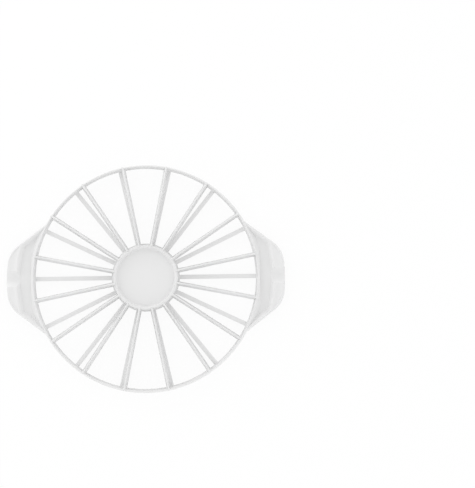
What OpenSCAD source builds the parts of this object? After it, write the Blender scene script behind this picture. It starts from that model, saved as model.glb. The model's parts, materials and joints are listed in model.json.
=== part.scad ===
// Cake portion marker: a wheel of wedge-shaped bars, moulded in one piece with its two handles.
// One side marks 16 portions and the other side marks 14.
// Millimetres, +Z up. The marker lies on the crests of its lower bars, at z = 0, and the Z axis is
// the wheel's axis. The handles point along +X and -X. Both tiers of bars meet at mid-height.

/* [Wheel] */
// Radius of the wheel, over the widest part of its rim
wheel_r = 137.5; // [120:0.5:150]
// Height of the marker, from the lower crests to the upper crests
marker_h = 20; // [16:0.5:24]

/* [Bars] */
// Portions marked by the upper side
upper_bars = 16; // [10:1:18]
// Portions marked by the lower side
lower_bars = 14; // [10:1:18]
// Width of a bar at mid-height
bar_w = 5.2; // [4:0.1:6.5]
// Width of a bar's crest
bar_crest_w = 1.2; // [0.8:0.1:2]
// How far a bar's outer end stays inside the widest part of the rim
bar_end_inset = 1.3; // [0.1:0.1:1.6]

/* [Rim] */
// Width of the rim at mid-height
rim_w = 4.7; // [4:0.1:7]
// Width of the rim's crests
rim_crest_w = 1.3; // [0.8:0.1:2]
// Height of the rim, from crest to crest
rim_h = 14; // [12:0.5:15.5]

/* [Hub] */
// Radius of the hub's wall at mid-height
hub_r = 41; // [36:0.5:48]
// Width of the hub's wall at mid-height
hub_wall_w = 7; // [5:0.1:9]
// Width of the hub wall's crests
hub_crest_w = 2.2; // [0.8:0.1:2.8]
// Height of the hub's wall, from crest to crest
hub_h = 14; // [11:0.5:15.5]
// Thickness of the hub's floor
hub_floor_t = 2.4; // [1.6:0.1:4]

/* [Handles] */
// How far a handle reaches past the rim
grip_reach = 30.5; // [27:0.5:36]
// Half the width of a handle where its floor begins
grip_half_w = 53.8; // [48:0.2:60]
// Angle between a handle's side and the X axis
grip_side_angle = 37.2; // [30:0.2:44]
// Radius of a handle's outer corners
grip_corner_r = 32; // [24:0.5:38]
// Height of a handle's top above mid-height
grip_rise = 6.4; // [5:0.1:7]
// Thickness of a handle's floor
grip_floor_t = 2.4; // [1.8:0.1:3.6]
// Width of the floor, from the rim to the foot of the step
grip_floor_w = 13.3; // [10:0.1:15]
// Run of the slope that climbs from the floor
grip_step_run = 3.8; // [2.5:0.1:5]
// Run of a handle's sloping outer edge
grip_edge_run = 2; // [1:0.1:3]
// Width of the crest along a handle's edge
grip_crest_w = 1.4; // [1:0.1:2]
// Run of the slope inside a handle's side walls
grip_wall_run = 3.6; // [2.5:0.1:5]
// Wall over and around the hollow beneath a handle's raised part
grip_wall_t = 2.2; // [1.6:0.1:2.8]
// Depth of the groove along the raised part
groove_depth = 0.7; // [0.3:0.1:1]
// Width of the thumb scoop at the top of the handle
scoop_w = 18.8; // [14:0.2:24]
// Height of the thumb scoop's bottom above the floor
scoop_sill = 0.4; // [0.2:0.1:1.5]
// How far past the rim its outer shoulder reaches, down to the floor
shoulder_reach = 4; // [3:0.5:11]

/* [Hidden] */
$fn = 180;
plastic = [0.93, 0.93, 0.93];
// Extra length that carries a cut clear of a face
clear = 1;
mid_z = marker_h / 2;
bar_outer_r = wheel_r - bar_end_inset;
rim_mid_r = wheel_r - rim_w / 2;
rim_crest_z = mid_z + rim_h / 2;
hub_crest_r = hub_r - hub_wall_w / 2;
floor_top_z = mid_z + grip_floor_t / 2;
floor_under_z = mid_z - grip_floor_t / 2;
grip_top_z = mid_z + grip_rise;
grip_r = wheel_r + grip_reach;
step_foot_r = wheel_r + grip_floor_w;
step_top_r = step_foot_r + grip_step_run;
crest_inset = grip_edge_run + grip_crest_w;
// Distance of a side's line from the wheel's axis, and the place of the corner's centre
side_d = wheel_r * sin(grip_side_angle) + grip_half_w * cos(grip_side_angle);
corner_across = side_d - grip_corner_r;
corner_reach = grip_r - grip_corner_r;
corner_along = sqrt(pow(corner_reach, 2) - pow(corner_across, 2));
corner_angle = 90 - grip_side_angle - atan2(corner_along, corner_across);
corner_centre = corner_reach * [cos(corner_angle), sin(corner_angle)];
corner_steps = 16;
edge_steps = 5;
// Flat left between the groove and the crest along the handle's edge
groove_margin = 0.6;
// Groove along the raised part, as an arc over its width
groove_w = grip_r - crest_inset - groove_margin - step_top_r - grip_crest_w;
groove_mid_r = step_top_r + grip_crest_w + groove_w / 2;
groove_arc_r = (pow(groove_w / 2, 2) + pow(groove_depth, 2)) / (2 * groove_depth);
// Thumb scoop, as an arc over its width
scoop_depth = grip_top_z - floor_top_z - scoop_sill;
scoop_arc_r = (pow(scoop_w / 2, 2) + pow(scoop_depth, 2)) / (2 * scoop_depth);
// Hollow beneath the raised part
hollow_top_z = grip_top_z - groove_depth - grip_wall_t;
step_angle = atan2(grip_top_z - floor_top_z, grip_step_run);

// A wedge-shaped bar along +Y, with its base at z = 0
module bar_wedge(height) {
    reach = bar_outer_r - hub_crest_r;
    translate([0, bar_outer_r, 0])
        rotate([90, 0, 0])
            linear_extrude(height = reach)
                polygon([
                    [-bar_w / 2, 0], [bar_w / 2, 0],
                    [bar_crest_w / 2, height], [-bar_crest_w / 2, height]
                ]);
}

// One tier of evenly spaced bars, with a gap centred on +Y
module bar_tier(count, height) {
    pitch = 360 / count;
    for (i = [0 : count - 1])
        rotate([0, 0, pitch * (i + 0.5)])
            bar_wedge(height);
}

module upper_tier() {
    translate([0, 0, mid_z])
        bar_tier(upper_bars, mid_z);
}

module lower_tier() {
    translate([0, 0, mid_z])
        mirror([0, 0, 1])
            bar_tier(lower_bars, mid_z);
}

// A ring with a wedge above mid-height and the same wedge below it
module wedge_ring(outer_r, width, crest_w, height) {
    slope_run = (width - crest_w) / 2;
    translate([0, 0, mid_z])
        rotate_extrude()
            polygon([
                [outer_r, 0],
                [outer_r - slope_run, height / 2], [outer_r - slope_run - crest_w, height / 2],
                [outer_r - width, 0],
                [outer_r - slope_run - crest_w, -height / 2], [outer_r - slope_run, -height / 2]
            ]);
}

module rim() {
    wedge_ring(wheel_r, rim_w, rim_crest_w, rim_h);
}

module hub() {
    wedge_ring(hub_r, hub_wall_w, hub_crest_w, hub_h);
    translate([0, 0, mid_z - hub_floor_t / 2])
        cylinder(h = hub_floor_t, r = hub_crest_r);
}

// Points of an arc, from one angle to another in equal steps
function arc_points(centre, r, from, to, steps) =
    [for (i = [0 : steps]) let (a = from + (to - from) * i / steps) centre + r * [cos(a), sin(a)]];

// Upper half of the handle's outline, drawn in by inset: side, corner, then half of the outer arc
function outline_half(inset) = concat(
    [(side_d - inset) * [sin(grip_side_angle), cos(grip_side_angle)]],
    arc_points(corner_centre, grip_corner_r - inset, 90 - grip_side_angle, corner_angle, corner_steps),
    [for (i = [1 : edge_steps]) let (a = corner_angle * (1 - i / edge_steps)) (grip_r - inset) * [cos(a), sin(a)]]
);

// The whole outline, counter-clockwise
function outline(inset) =
    let (half = outline_half(inset), last = len(half) - 1)
    concat([for (i = [0 : last - 1]) [half[i].x, -half[i].y]], [for (i = [last : -1 : 0]) half[i]]);

// Solid within the handle's outline, drawn in by low_inset at low_z and by high_inset at high_z
module grip_taper(low_z, low_inset, high_z, high_inset) {
    low = [for (p = outline(low_inset)) [p.x, p.y, low_z]];
    high = [for (p = outline(high_inset)) [p.x, p.y, high_z]];
    n = len(low);
    polyhedron(
        points = concat(low, high),
        faces = concat(
            [[for (i = [0 : n - 1]) i]],
            [[for (i = [n - 1 : -1 : 0]) n + i]],
            [for (i = [0 : n - 1]) [i, n + i, n + (i + 1) % n, (i + 1) % n]]
        )
    );
}

// Recess of the handle, within its side walls and the step, down to the floor
module grip_recess() {
    rise = grip_top_z - floor_top_z;
    top_z = grip_top_z + clear;
    wall_run_above = clear * grip_wall_run / rise;
    step_run_above = clear * grip_step_run / rise;
    intersection() {
        grip_taper(floor_top_z, crest_inset + grip_wall_run, top_z, crest_inset - wall_run_above);
        rotate_extrude()
            polygon([
                [0, floor_top_z], [step_foot_r, floor_top_z],
                [step_top_r + step_run_above, top_z], [0, top_z]
            ]);
    }
}

// Shoulder that runs from high on the rim's side down to the floor, behind the floor's straight edge
module rim_shoulder() {
    crest_outer_r = wheel_r - (rim_w - rim_crest_w) / 2;
    intersection() {
        rotate_extrude()
            polygon([
                [0, floor_under_z], [wheel_r + shoulder_reach, floor_under_z],
                [wheel_r + shoulder_reach, floor_top_z], [crest_outer_r, grip_top_z],
                [crest_outer_r, rim_crest_z], [0, rim_crest_z]
            ]);
        translate([0, -wheel_r, 0])
            cube([wheel_r, 2 * wheel_r, marker_h]);
    }
}

// Shallow groove along the raised part, for the fingers
module grip_groove() {
    intersection() {
        grip_taper(floor_top_z, crest_inset, grip_top_z + clear, crest_inset);
        translate([0, 0, grip_top_z - groove_depth + groove_arc_r])
            rotate_extrude()
                translate([groove_mid_r, 0])
                    circle(r = groove_arc_r);
    }
}

// Round bar across the raised part: the scoop itself, or its wall when grown
module scoop_bar(growth) {
    translate([step_foot_r, 0, floor_top_z + scoop_sill + scoop_arc_r])
        rotate([0, 90, 0])
            cylinder(h = grip_reach, r = scoop_arc_r + growth);
}

// Hollow beneath the raised part, on both sides of the thumb scoop
module grip_hollow() {
    low_z = floor_under_z - clear;
    edge_slope = grip_edge_run / (grip_top_z - floor_under_z);
    wall_across = grip_wall_t / sin(step_angle);
    foot_r = step_foot_r + wall_across;
    difference() {
        intersection() {
            grip_taper(
                low_z, grip_wall_t - clear * edge_slope,
                hollow_top_z, grip_wall_t + (hollow_top_z - floor_under_z) * edge_slope
            );
            rotate_extrude()
                polygon([
                    [foot_r + (low_z - floor_top_z) / tan(step_angle), low_z],
                    [grip_r, low_z], [grip_r, hollow_top_z],
                    [foot_r + (hollow_top_z - floor_top_z) / tan(step_angle), hollow_top_z]
                ]);
        }
        scoop_bar(grip_wall_t);
    }
}

module handle() {
    difference() {
        grip_taper(floor_under_z, 0, grip_top_z, grip_edge_run);
        difference() {
            grip_recess();
            rim_shoulder();
        }
        grip_groove();
        scoop_bar(0);
        grip_hollow();
        translate([0, 0, -clear])
            cylinder(h = marker_h + 2 * clear, r = rim_mid_r);
    }
}

module portion_marker() {
    color(plastic) {
        upper_tier();
        lower_tier();
        rim();
        hub();
        for (end = [0, 1])
            mirror([end, 0, 0])
                handle();
    }
}

portion_marker();
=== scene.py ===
"""Looks of the cake portion marker: its one white moulding, with softened creases and a satin
plastic finish, on a plain pale floor in soft studio light.

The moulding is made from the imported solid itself, so every size comes from the frame. Metres,
+Z up, with the handles along X. The Z axis is the wheel's axis."""

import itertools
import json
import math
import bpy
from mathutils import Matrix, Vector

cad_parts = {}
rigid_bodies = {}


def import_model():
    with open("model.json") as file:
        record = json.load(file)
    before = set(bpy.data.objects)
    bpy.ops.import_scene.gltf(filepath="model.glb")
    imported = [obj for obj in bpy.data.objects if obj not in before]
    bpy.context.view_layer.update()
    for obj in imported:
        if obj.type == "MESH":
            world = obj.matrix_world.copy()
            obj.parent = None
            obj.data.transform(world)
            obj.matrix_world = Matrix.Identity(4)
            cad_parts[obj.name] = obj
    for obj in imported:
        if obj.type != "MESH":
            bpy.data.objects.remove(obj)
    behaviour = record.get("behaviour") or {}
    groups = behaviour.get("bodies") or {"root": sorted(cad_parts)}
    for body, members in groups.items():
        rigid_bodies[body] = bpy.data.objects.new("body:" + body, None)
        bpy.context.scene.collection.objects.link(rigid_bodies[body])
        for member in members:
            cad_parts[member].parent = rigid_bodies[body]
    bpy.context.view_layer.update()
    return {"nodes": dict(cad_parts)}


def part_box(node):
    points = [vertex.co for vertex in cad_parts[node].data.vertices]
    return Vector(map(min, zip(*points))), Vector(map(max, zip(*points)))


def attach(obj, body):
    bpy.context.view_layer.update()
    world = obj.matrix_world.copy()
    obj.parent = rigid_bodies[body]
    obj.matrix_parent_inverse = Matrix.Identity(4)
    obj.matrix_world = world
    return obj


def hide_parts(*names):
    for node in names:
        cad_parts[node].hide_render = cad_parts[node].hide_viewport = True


bl_info = {
    "name": "Cake Portion Marker",
    "version": (1, 0, 0),
    "blender": (4, 5, 0),
    "location": "3D View > Sidebar > Cake Marker",
    "description": "Finishes a double-sided cake portion marker and sets it in a studio",
    "category": "Object",
}

import bmesh
import bpy
from mathutils import Vector
from mathutils.geometry import intersect_point_line

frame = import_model()

SOLID = "portion_marker"
MILLIMETRE = 0.001
WHITE = (1, 1, 1, 1)
LOW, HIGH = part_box(SOLID)
LENGTH = HIGH.x - LOW.x
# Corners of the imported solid's loose triangles that lie within this distance are one corner
MERGE_DISTANCE = 0.02 * MILLIMETRE
# Room that a softened crease needs across a face, in widths: between two creases, and beside a seam
BOTH_ROOM = 2.5
ONE_ROOM = 1.3
# Room at a face's sharp tip, for a shorter side of 1 and a tip whose half angle has a tangent of 1
TIP_ROOM = 2.25
# Smallest share of the width that a crease is given, and the share below which it stays sharp
LEAST_SHARE = 0.01
SLIVER_SHARE = 0.4
# A vertex closer to a crease than this many widths is in its way, where the faces about it are
# nearly flat and small: they turn by less than this angle, and the edges between them are shorter
# than this many widths
CLEAR_ROOM = 1.8
CLEAR_ANGLE = math.radians(2.1)
CLEAR_LENGTH = 8
# Values between which most of a noise lies
NOISE_LOW = 0.3
NOISE_HIGH = 0.7
# Colour sockets of a Mix node: its share, its two colours and its result
MIX_SHARE, MIX_FIRST, MIX_SECOND, MIX_RESULT = 0, 6, 7, 2


class MouldingSettings(bpy.types.PropertyGroup):
    """How the moulding's creases are softened"""

    edge_width: bpy.props.FloatProperty(
        name="Edge Width",
        description="Width by which each crease of the moulding is softened",
        default=0.18 * MILLIMETRE,
        min=0.05 * MILLIMETRE,
        max=0.4 * MILLIMETRE,
        precision=5,
        unit="LENGTH",
        subtype="DISTANCE",
    )
    edge_steps: bpy.props.IntProperty(
        name="Edge Steps",
        description="Strips of faces across each softened crease",
        default=2,
        min=1,
        max=4,
    )
    crease_angle: bpy.props.FloatProperty(
        name="Crease Angle",
        description="Edges that turn by more than this are creases",
        default=math.radians(12),
        unit="ROTATION",
        subtype="ANGLE",
    )
    flat_angle: bpy.props.FloatProperty(
        name="Flat Angle",
        description="Faces that turn by less than this are merged into one",
        default=math.radians(0.4),
        unit="ROTATION",
        subtype="ANGLE",
    )


class PlasticSettings(bpy.types.PropertyGroup):
    """Colour and finish of the white plastic"""

    colour: bpy.props.FloatVectorProperty(
        name="Colour",
        description="Colour of the white plastic",
        default=(0.80, 0.80, 0.80),
        size=3,
        min=0,
        max=1,
        subtype="COLOR",
    )
    shade: bpy.props.FloatVectorProperty(
        name="Shade",
        description="Slightly deeper tone that the plastic drifts to from place to place",
        default=(0.775, 0.775, 0.775),
        size=3,
        min=0,
        max=1,
        subtype="COLOR",
    )
    gloss_low: bpy.props.FloatProperty(
        name="Glossiest",
        description="Roughness of the surface where the mould was smoothest",
        default=0.34,
        min=0,
        max=1,
        subtype="FACTOR",
    )
    gloss_high: bpy.props.FloatProperty(
        name="Dullest",
        description="Roughness of the surface where the mould was dullest",
        default=0.48,
        min=0,
        max=1,
        subtype="FACTOR",
    )
    grain_size: bpy.props.FloatProperty(
        name="Grain Size",
        description="Size of the fine grain that the mould's sparked faces leave",
        default=0.5 * MILLIMETRE,
        unit="LENGTH",
        subtype="DISTANCE",
        precision=5,
    )
    grain_depth: bpy.props.FloatProperty(
        name="Grain Depth",
        description="Depth of that fine grain",
        default=0.015 * MILLIMETRE,
        unit="LENGTH",
        subtype="DISTANCE",
        precision=6,
    )
    drift_size: bpy.props.FloatProperty(
        name="Drift Size",
        description="Distance over which the tone drifts",
        default=50 * MILLIMETRE,
        unit="LENGTH",
        subtype="DISTANCE",
    )
    patch_size: bpy.props.FloatProperty(
        name="Patch Size",
        description="Size of the duller and glossier patches",
        default=6 * MILLIMETRE,
        unit="LENGTH",
        subtype="DISTANCE",
    )
    ior: bpy.props.FloatProperty(
        name="Refraction",
        description="Refractive index of the plastic",
        default=1.49,
        min=1,
        max=2,
    )
    sink_size: bpy.props.FloatProperty(
        name="Sink Size",
        description="Spacing of the slow hollows that form as the plastic cools",
        default=16 * MILLIMETRE,
        unit="LENGTH",
        subtype="DISTANCE",
    )
    sink_depth: bpy.props.FloatProperty(
        name="Sink Depth",
        description="Depth of those slow hollows",
        default=0.2 * MILLIMETRE,
        unit="LENGTH",
        subtype="DISTANCE",
        precision=5,
    )


class StageSettings(bpy.types.PropertyGroup):
    """The floor, the light and the camera"""

    floor_size: bpy.props.FloatProperty(
        name="Floor Size",
        description="Length of each side of the floor",
        default=20 * LENGTH,
        unit="LENGTH",
        subtype="DISTANCE",
    )
    floor_gap: bpy.props.FloatProperty(
        name="Floor Gap",
        description="How far the floor stays below the crests, so that their faces don't coincide",
        default=0.02 * MILLIMETRE,
        unit="LENGTH",
        subtype="DISTANCE",
        precision=5,
    )
    floor_colour: bpy.props.FloatVectorProperty(
        name="Floor Colour",
        description="Colour of the pale floor",
        default=(0.94, 0.94, 0.94),
        size=3,
        min=0,
        max=1,
        subtype="COLOR",
    )
    floor_whiteness: bpy.props.FloatProperty(
        name="Floor Whiteness",
        description="Share of plain white in the floor that shows; the rest carries the shadow",
        default=0.92,
        min=0,
        max=1,
        subtype="FACTOR",
    )
    sky_light: bpy.props.FloatProperty(
        name="Light From Above",
        description="Level of the even light straight overhead",
        default=0.82,
        min=0,
    )
    side_light: bpy.props.FloatProperty(
        name="Light From The Sides",
        description="Level of the even light near the horizon",
        default=1.41,
        min=0,
    )
    key_light: bpy.props.FloatProperty(
        name="Key Light",
        description="Power of the large soft light at the upper left",
        default=1.6,
        min=0,
        unit="POWER",
    )
    key_size: bpy.props.FloatProperty(
        name="Key Size",
        description="Length of each side of the large soft light",
        default=0.8,
        unit="LENGTH",
        subtype="DISTANCE",
    )
    key_place: bpy.props.FloatVectorProperty(
        name="Key Place",
        description="Middle of the large soft light",
        default=(-0.77, 0.77, 0.44),
        size=3,
        unit="LENGTH",
        subtype="TRANSLATION",
    )
    camera_place: bpy.props.FloatVectorProperty(
        name="Camera Place",
        description="Place of the camera's lens",
        default=(0.0542, -0.0656, 1.0100),
        size=3,
        unit="LENGTH",
        subtype="TRANSLATION",
    )
    camera_turn: bpy.props.FloatVectorProperty(
        name="Camera Turn",
        description="Turn of the camera about X, Y and Z from looking straight down",
        default=(math.radians(6.014), math.radians(0.197), math.radians(-0.870)),
        size=3,
        unit="ROTATION",
        subtype="EULER",
    )
    camera_shift: bpy.props.FloatProperty(
        name="Camera Shift",
        description="Sideways shift of the lens, as a share of the picture's height",
        default=0.1,
    )
    focal_length: bpy.props.FloatProperty(
        name="Focal Length",
        description="Focal length of the camera's lens, in millimetres",
        default=61.29,
        unit="CAMERA",
    )


def deselect_all():
    if bpy.context.object and bpy.context.object.mode != "OBJECT":
        bpy.ops.object.mode_set(mode="OBJECT")
    bpy.ops.object.select_all(action="DESELECT")


def select_only(thing):
    deselect_all()
    thing.select_set(True)
    bpy.context.view_layer.objects.active = thing


def apply_modifier(thing, kind, **values):
    """Adds one modifier with these values and applies it."""
    select_only(thing)
    modifier = thing.modifiers.new(kind.lower(), kind)
    for name, value in values.items():
        setattr(modifier, name, value)
    bpy.ops.object.modifier_apply(modifier=modifier.name)


def span(point, start, end):
    """Distance of a point from the line between two ends."""
    foot, share = intersect_point_line(point, start, end)
    if share < 0 or share > 1:
        foot = start if share < 0 else end
    return (point - foot).length


def room_between(one, other):
    """Width of the face where two of its sides face each other, or None where they don't."""
    edge_a, a, b, into_a = one
    edge_b, c, d, into_b = other
    apart = c.co + d.co - a.co - b.co
    if into_a.dot(into_b) > 0 or apart.dot(into_a) <= 0 or apart.dot(into_b) >= 0:
        return None
    if {a, b} & {c, d}:
        half_turn = math.acos(min(1, -into_a.dot(into_b))) / 2
        return TIP_ROOM * min(edge_a.calc_length(), edge_b.calc_length()) * math.tan(half_turn)
    return min(
        span(a.co, c.co, d.co),
        span(b.co, c.co, d.co),
        span(c.co, a.co, b.co),
        span(d.co, a.co, b.co),
    )


def in_the_way(vert, weight, width):
    """Whether a vertex among small, nearly flat faces stands where a crease is softened."""
    creases = [edge for edge in vert.link_edges if edge[weight]]
    for edge in vert.link_edges:
        long = edge.calc_length() > CLEAR_LENGTH * width
        if not edge[weight] and (long or edge.calc_face_angle(0) > CLEAR_ANGLE):
            return False
    near = CLEAR_ROOM * width
    if not creases:
        beside = {edge for face in vert.link_faces for edge in face.edges if edge[weight]}
        return any(span(vert.co, *(end.co for end in edge.verts)) < near for edge in beside)
    if len(creases) != 2 or min(edge.calc_length() for edge in creases) > near:
        return False
    one, other = (edge.other_vert(vert).co - vert.co for edge in creases)
    return one.angle(-other) < CLEAR_ANGLE


def clear_creases(shape, weight, width):
    """Merges the small, nearly flat faces about each vertex that is in the way of a crease."""
    loose = [vert for vert in shape.verts if in_the_way(vert, weight, width)]
    flat = dict.fromkeys(edge for vert in loose for edge in vert.link_edges if not edge[weight])
    bmesh.ops.dissolve_edges(shape, edges=list(flat), use_verts=False)
    bmesh.ops.dissolve_verts(shape, verts=[vert for vert in loose if vert.is_valid])


def mark_creases(mesh, width, crease_angle):
    """Gives each crease its share of the width: less beside a narrow face, none beside a sliver."""
    shape = bmesh.new()
    shape.from_mesh(mesh)
    weight = shape.edges.layers.float.new("bevel_weight_edge")
    for edge in shape.edges:
        edge[weight] = float(edge.calc_face_angle(0) > crease_angle)
    clear_creases(shape, weight, width)
    for face in shape.faces:
        sides = []
        for loop in face.loops:
            start, end = loop.vert, loop.link_loop_next.vert
            sides.append((loop.edge, start, end, face.normal.cross(end.co - start.co).normalized()))
        for one, other in itertools.combinations(sides, 2):
            creases = [side[0] for side in (one, other) if side[0][weight]]
            room = room_between(one, other) if creases else None
            if room is None:
                continue
            need = BOTH_ROOM if len(creases) == 2 else ONE_ROOM
            for edge in creases:
                edge[weight] = max(LEAST_SHARE, min(edge[weight], room / (need * width)))
    for edge in shape.edges:
        if edge[weight] < SLIVER_SHARE:
            edge[weight] = 0.0
    shape.to_mesh(mesh)
    shape.free()


def new_material(name):
    """An empty material and its node tree, with an output node."""
    material = bpy.data.materials.new(name)
    material.use_nodes = True
    tree = material.node_tree
    tree.nodes.clear()
    return material, tree, add_node(tree, "ShaderNodeOutputMaterial")


def add_node(tree, kind, inputs=None, **settings):
    """A node of this kind. An input takes a value, or the output socket that feeds it."""
    node = tree.nodes.new(kind)
    for name, value in settings.items():
        setattr(node, name, value)
    for name, value in (inputs or {}).items():
        if isinstance(value, bpy.types.NodeSocket):
            tree.links.new(value, node.inputs[name])
        else:
            node.inputs[name].default_value = value
    return node


def noise(tree, place, size, detail):
    """Smooth noise in space whose bumps are about this size. Its value lies about 0.5."""
    inputs = {"Vector": place, "Scale": 1 / size, "Detail": detail}
    return add_node(tree, "ShaderNodeTexNoise", inputs).outputs["Fac"]


def bump(tree, height, depth, below=None):
    """Turns a height from 0 to 1 into a normal, on top of the normal below it."""
    inputs = {"Height": height, "Distance": depth}
    if below:
        inputs["Normal"] = below
    return add_node(tree, "ShaderNodeBump", inputs).outputs["Normal"]


def white_plastic(settings):
    """Satin white moulded plastic: slow drifts of tone and gloss, fine grain and shallow sinks."""
    material, tree, output = new_material("satin_white_plastic")
    place = add_node(tree, "ShaderNodeTexCoord").outputs["Object"]
    tone = add_node(tree, "ShaderNodeMix", data_type="RGBA")
    tree.links.new(noise(tree, place, settings.drift_size, detail=2), tone.inputs[MIX_SHARE])
    tone.inputs[MIX_FIRST].default_value = (*settings.colour, 1)
    tone.inputs[MIX_SECOND].default_value = (*settings.shade, 1)
    gloss = add_node(tree, "ShaderNodeMapRange", {
        "Value": noise(tree, place, settings.patch_size, detail=4),
        "From Min": NOISE_LOW,
        "From Max": NOISE_HIGH,
        "To Min": settings.gloss_low,
        "To Max": settings.gloss_high,
    })
    sinks = bump(tree, noise(tree, place, settings.sink_size, detail=1), settings.sink_depth)
    sparks = noise(tree, place, settings.grain_size, detail=2)
    grain = bump(tree, sparks, settings.grain_depth, below=sinks)
    shader = add_node(tree, "ShaderNodeBsdfPrincipled", {
        "Base Color": tone.outputs[MIX_RESULT],
        "Roughness": gloss.outputs["Result"],
        "IOR": settings.ior,
        "Normal": grain,
    })
    tree.links.new(shader.outputs["BSDF"], output.inputs["Surface"])
    return material


def mix_shaders(tree, share, one, other):
    """Mixes two shaders: at a share of 0 only the first shows, and at 1 only the other."""
    inputs = {0: share, 1: one.outputs[0], 2: other.outputs[0]}
    return add_node(tree, "ShaderNodeMixShader", inputs)


def floor_paint(settings):
    """Pale matt floor: nearly white to the camera, with a soft shadow, and clear from below."""
    material, tree, output = new_material("pale_floor")
    paint = add_node(tree, "ShaderNodeBsdfDiffuse", {"Color": (*settings.floor_colour, 1)})
    white = add_node(tree, "ShaderNodeEmission", {"Strength": 1.0})
    seen = add_node(tree, "ShaderNodeLightPath").outputs["Is Camera Ray"]
    share = add_node(
        tree, "ShaderNodeMath", {0: seen, 1: settings.floor_whiteness}, operation="MULTIPLY"
    )
    above = mix_shaders(tree, share.outputs["Value"], paint, white)
    from_below = add_node(tree, "ShaderNodeNewGeometry").outputs["Backfacing"]
    both = mix_shaders(tree, from_below, above, add_node(tree, "ShaderNodeBsdfTransparent"))
    tree.links.new(both.outputs["Shader"], output.inputs["Surface"])
    return material


class CAKEMARKER_OT_moulding(bpy.types.Operator):
    """Makes the visible moulding from the solid, with every crease softened"""

    bl_idname = "cake_marker.moulding"
    bl_label = "White Moulding"

    def execute(self, context):
        sizes = context.scene.marker_moulding
        select_only(frame["nodes"][SOLID])
        bpy.ops.object.duplicate()
        moulding = context.object
        moulding.name = moulding.data.name = "white_moulding"
        bpy.ops.object.parent_clear(type="CLEAR_KEEP_TRANSFORM")
        # Merges the loose triangles into whole faces, so that only true creases are softened
        bpy.ops.object.mode_set(mode="EDIT")
        bpy.ops.mesh.select_all(action="SELECT")
        bpy.ops.mesh.remove_doubles(threshold=MERGE_DISTANCE)
        bpy.ops.mesh.dissolve_limited(angle_limit=sizes.flat_angle)
        bpy.ops.object.mode_set(mode="OBJECT")
        bpy.ops.object.shade_smooth()
        mark_creases(moulding.data, sizes.edge_width, sizes.crease_angle)
        apply_modifier(
            moulding,
            "BEVEL",
            width=sizes.edge_width,
            segments=sizes.edge_steps,
            limit_method="WEIGHT",
            use_clamp_overlap=False,
            harden_normals=True,
        )
        moulding.data.materials.clear()
        moulding.data.materials.append(white_plastic(context.scene.marker_plastic))
        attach(moulding, "root")
        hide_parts(SOLID)
        return {"FINISHED"}


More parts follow.
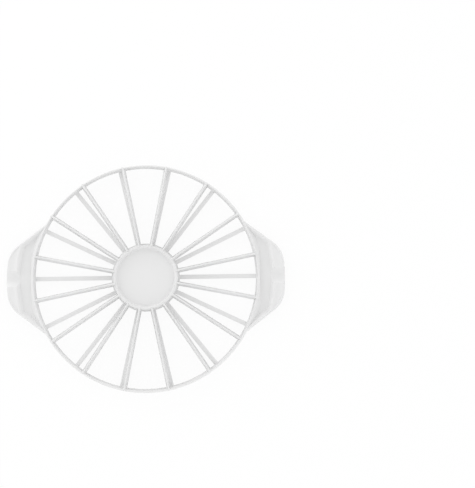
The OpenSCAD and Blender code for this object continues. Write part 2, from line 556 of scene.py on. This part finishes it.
class CAKEMARKER_OT_stage(bpy.types.Operator):
    """Adds the pale floor, the studio light and the camera"""

    bl_idname = "cake_marker.stage"
    bl_label = "Studio Stage"

    def execute(self, context):
        stage = context.scene.marker_stage
        self.floor(stage)
        self.room(context, stage)
        self.key(context, stage)
        self.camera(context, stage)
        context.scene.view_settings.view_transform = "Standard"
        return {"FINISHED"}

    def floor(self, stage):
        """Plain floor just below the crests that the marker rests on."""
        deselect_all()
        place = (0, 0, LOW.z - stage.floor_gap)
        bpy.ops.mesh.primitive_plane_add(size=stage.floor_size, location=place)
        floor = bpy.context.object
        floor.name = floor.data.name = "floor"
        floor.data.materials.append(floor_paint(stage))

    def room(self, context, stage):
        """Even light from all round, which the camera sees as plain white."""
        world = bpy.data.worlds.new("room")
        world.use_nodes = True
        tree = world.node_tree
        tree.nodes.clear()
        direction = add_node(tree, "ShaderNodeTexCoord").outputs["Generated"]
        height = add_node(tree, "ShaderNodeSeparateXYZ", {"Vector": direction}).outputs["Z"]
        light = add_node(tree, "ShaderNodeMapRange", {
            "Value": height,
            "To Min": stage.side_light,
            "To Max": stage.sky_light,
        })
        level = add_node(tree, "ShaderNodeMapRange", {
            "Value": add_node(tree, "ShaderNodeLightPath").outputs["Is Camera Ray"],
            "To Min": light.outputs["Result"],
            "To Max": 1.0,
        })
        background = add_node(tree, "ShaderNodeBackground", {
            "Color": WHITE,
            "Strength": level.outputs["Result"],
        })
        add_node(tree, "ShaderNodeOutputWorld", {"Surface": background.outputs["Background"]})
        context.scene.world = world

    def key(self, context, stage):
        """One large soft lamp that looks at the wheel's middle."""
        deselect_all()
        bpy.ops.object.light_add(type="AREA", location=stage.key_place)
        lamp = context.object
        lamp.name = "key_light"
        lamp.data.shape = "SQUARE"
        lamp.data.size = stage.key_size
        lamp.data.energy = stage.key_light
        lamp.rotation_euler = (-Vector(stage.key_place)).to_track_quat("-Z", "Y").to_euler()

    def camera(self, context, stage):
        """The camera at the photograph's viewing angle."""
        deselect_all()
        bpy.ops.object.camera_add(location=stage.camera_place, rotation=stage.camera_turn)
        camera = context.object
        camera.name = "camera"
        camera.data.lens = stage.focal_length
        camera.data.shift_x = stage.camera_shift
        context.scene.camera = camera


class CAKEMARKER_PT_sidebar(bpy.types.Panel):
    """The marker's settings and the operators that make it"""

    bl_idname = "CAKEMARKER_PT_sidebar"
    bl_label = "Cake Portion Marker"
    bl_space_type = "VIEW_3D"
    bl_region_type = "UI"
    bl_category = "Cake Marker"

    def draw(self, context):
        scene = context.scene
        for settings, operator in PARTS:
            box = self.layout.box()
            for group in settings:
                values = getattr(scene, group)
                for name in values.bl_rna.properties.keys():
                    if name not in ("rna_type", "name"):
                        box.prop(values, name)
            box.operator(operator)


PARTS = (
    (("marker_moulding", "marker_plastic"), CAKEMARKER_OT_moulding.bl_idname),
    (("marker_stage",), CAKEMARKER_OT_stage.bl_idname),
)
SETTINGS = {
    "marker_moulding": MouldingSettings,
    "marker_plastic": PlasticSettings,
    "marker_stage": StageSettings,
}
CLASSES = (
    *SETTINGS.values(),
    CAKEMARKER_OT_moulding,
    CAKEMARKER_OT_stage,
    CAKEMARKER_PT_sidebar,
)


def register():
    for cls in CLASSES:
        bpy.utils.register_class(cls)
    for name, cls in SETTINGS.items():
        setattr(bpy.types.Scene, name, bpy.props.PointerProperty(type=cls))


def unregister():
    for name in SETTINGS:
        delattr(bpy.types.Scene, name)
    for cls in reversed(CLASSES):
        bpy.utils.unregister_class(cls)


def main():
    """Makes the marker and its stage."""
    register()
    bpy.ops.cake_marker.moulding()
    bpy.ops.cake_marker.stage()


if __name__ == "__main__":
    main()
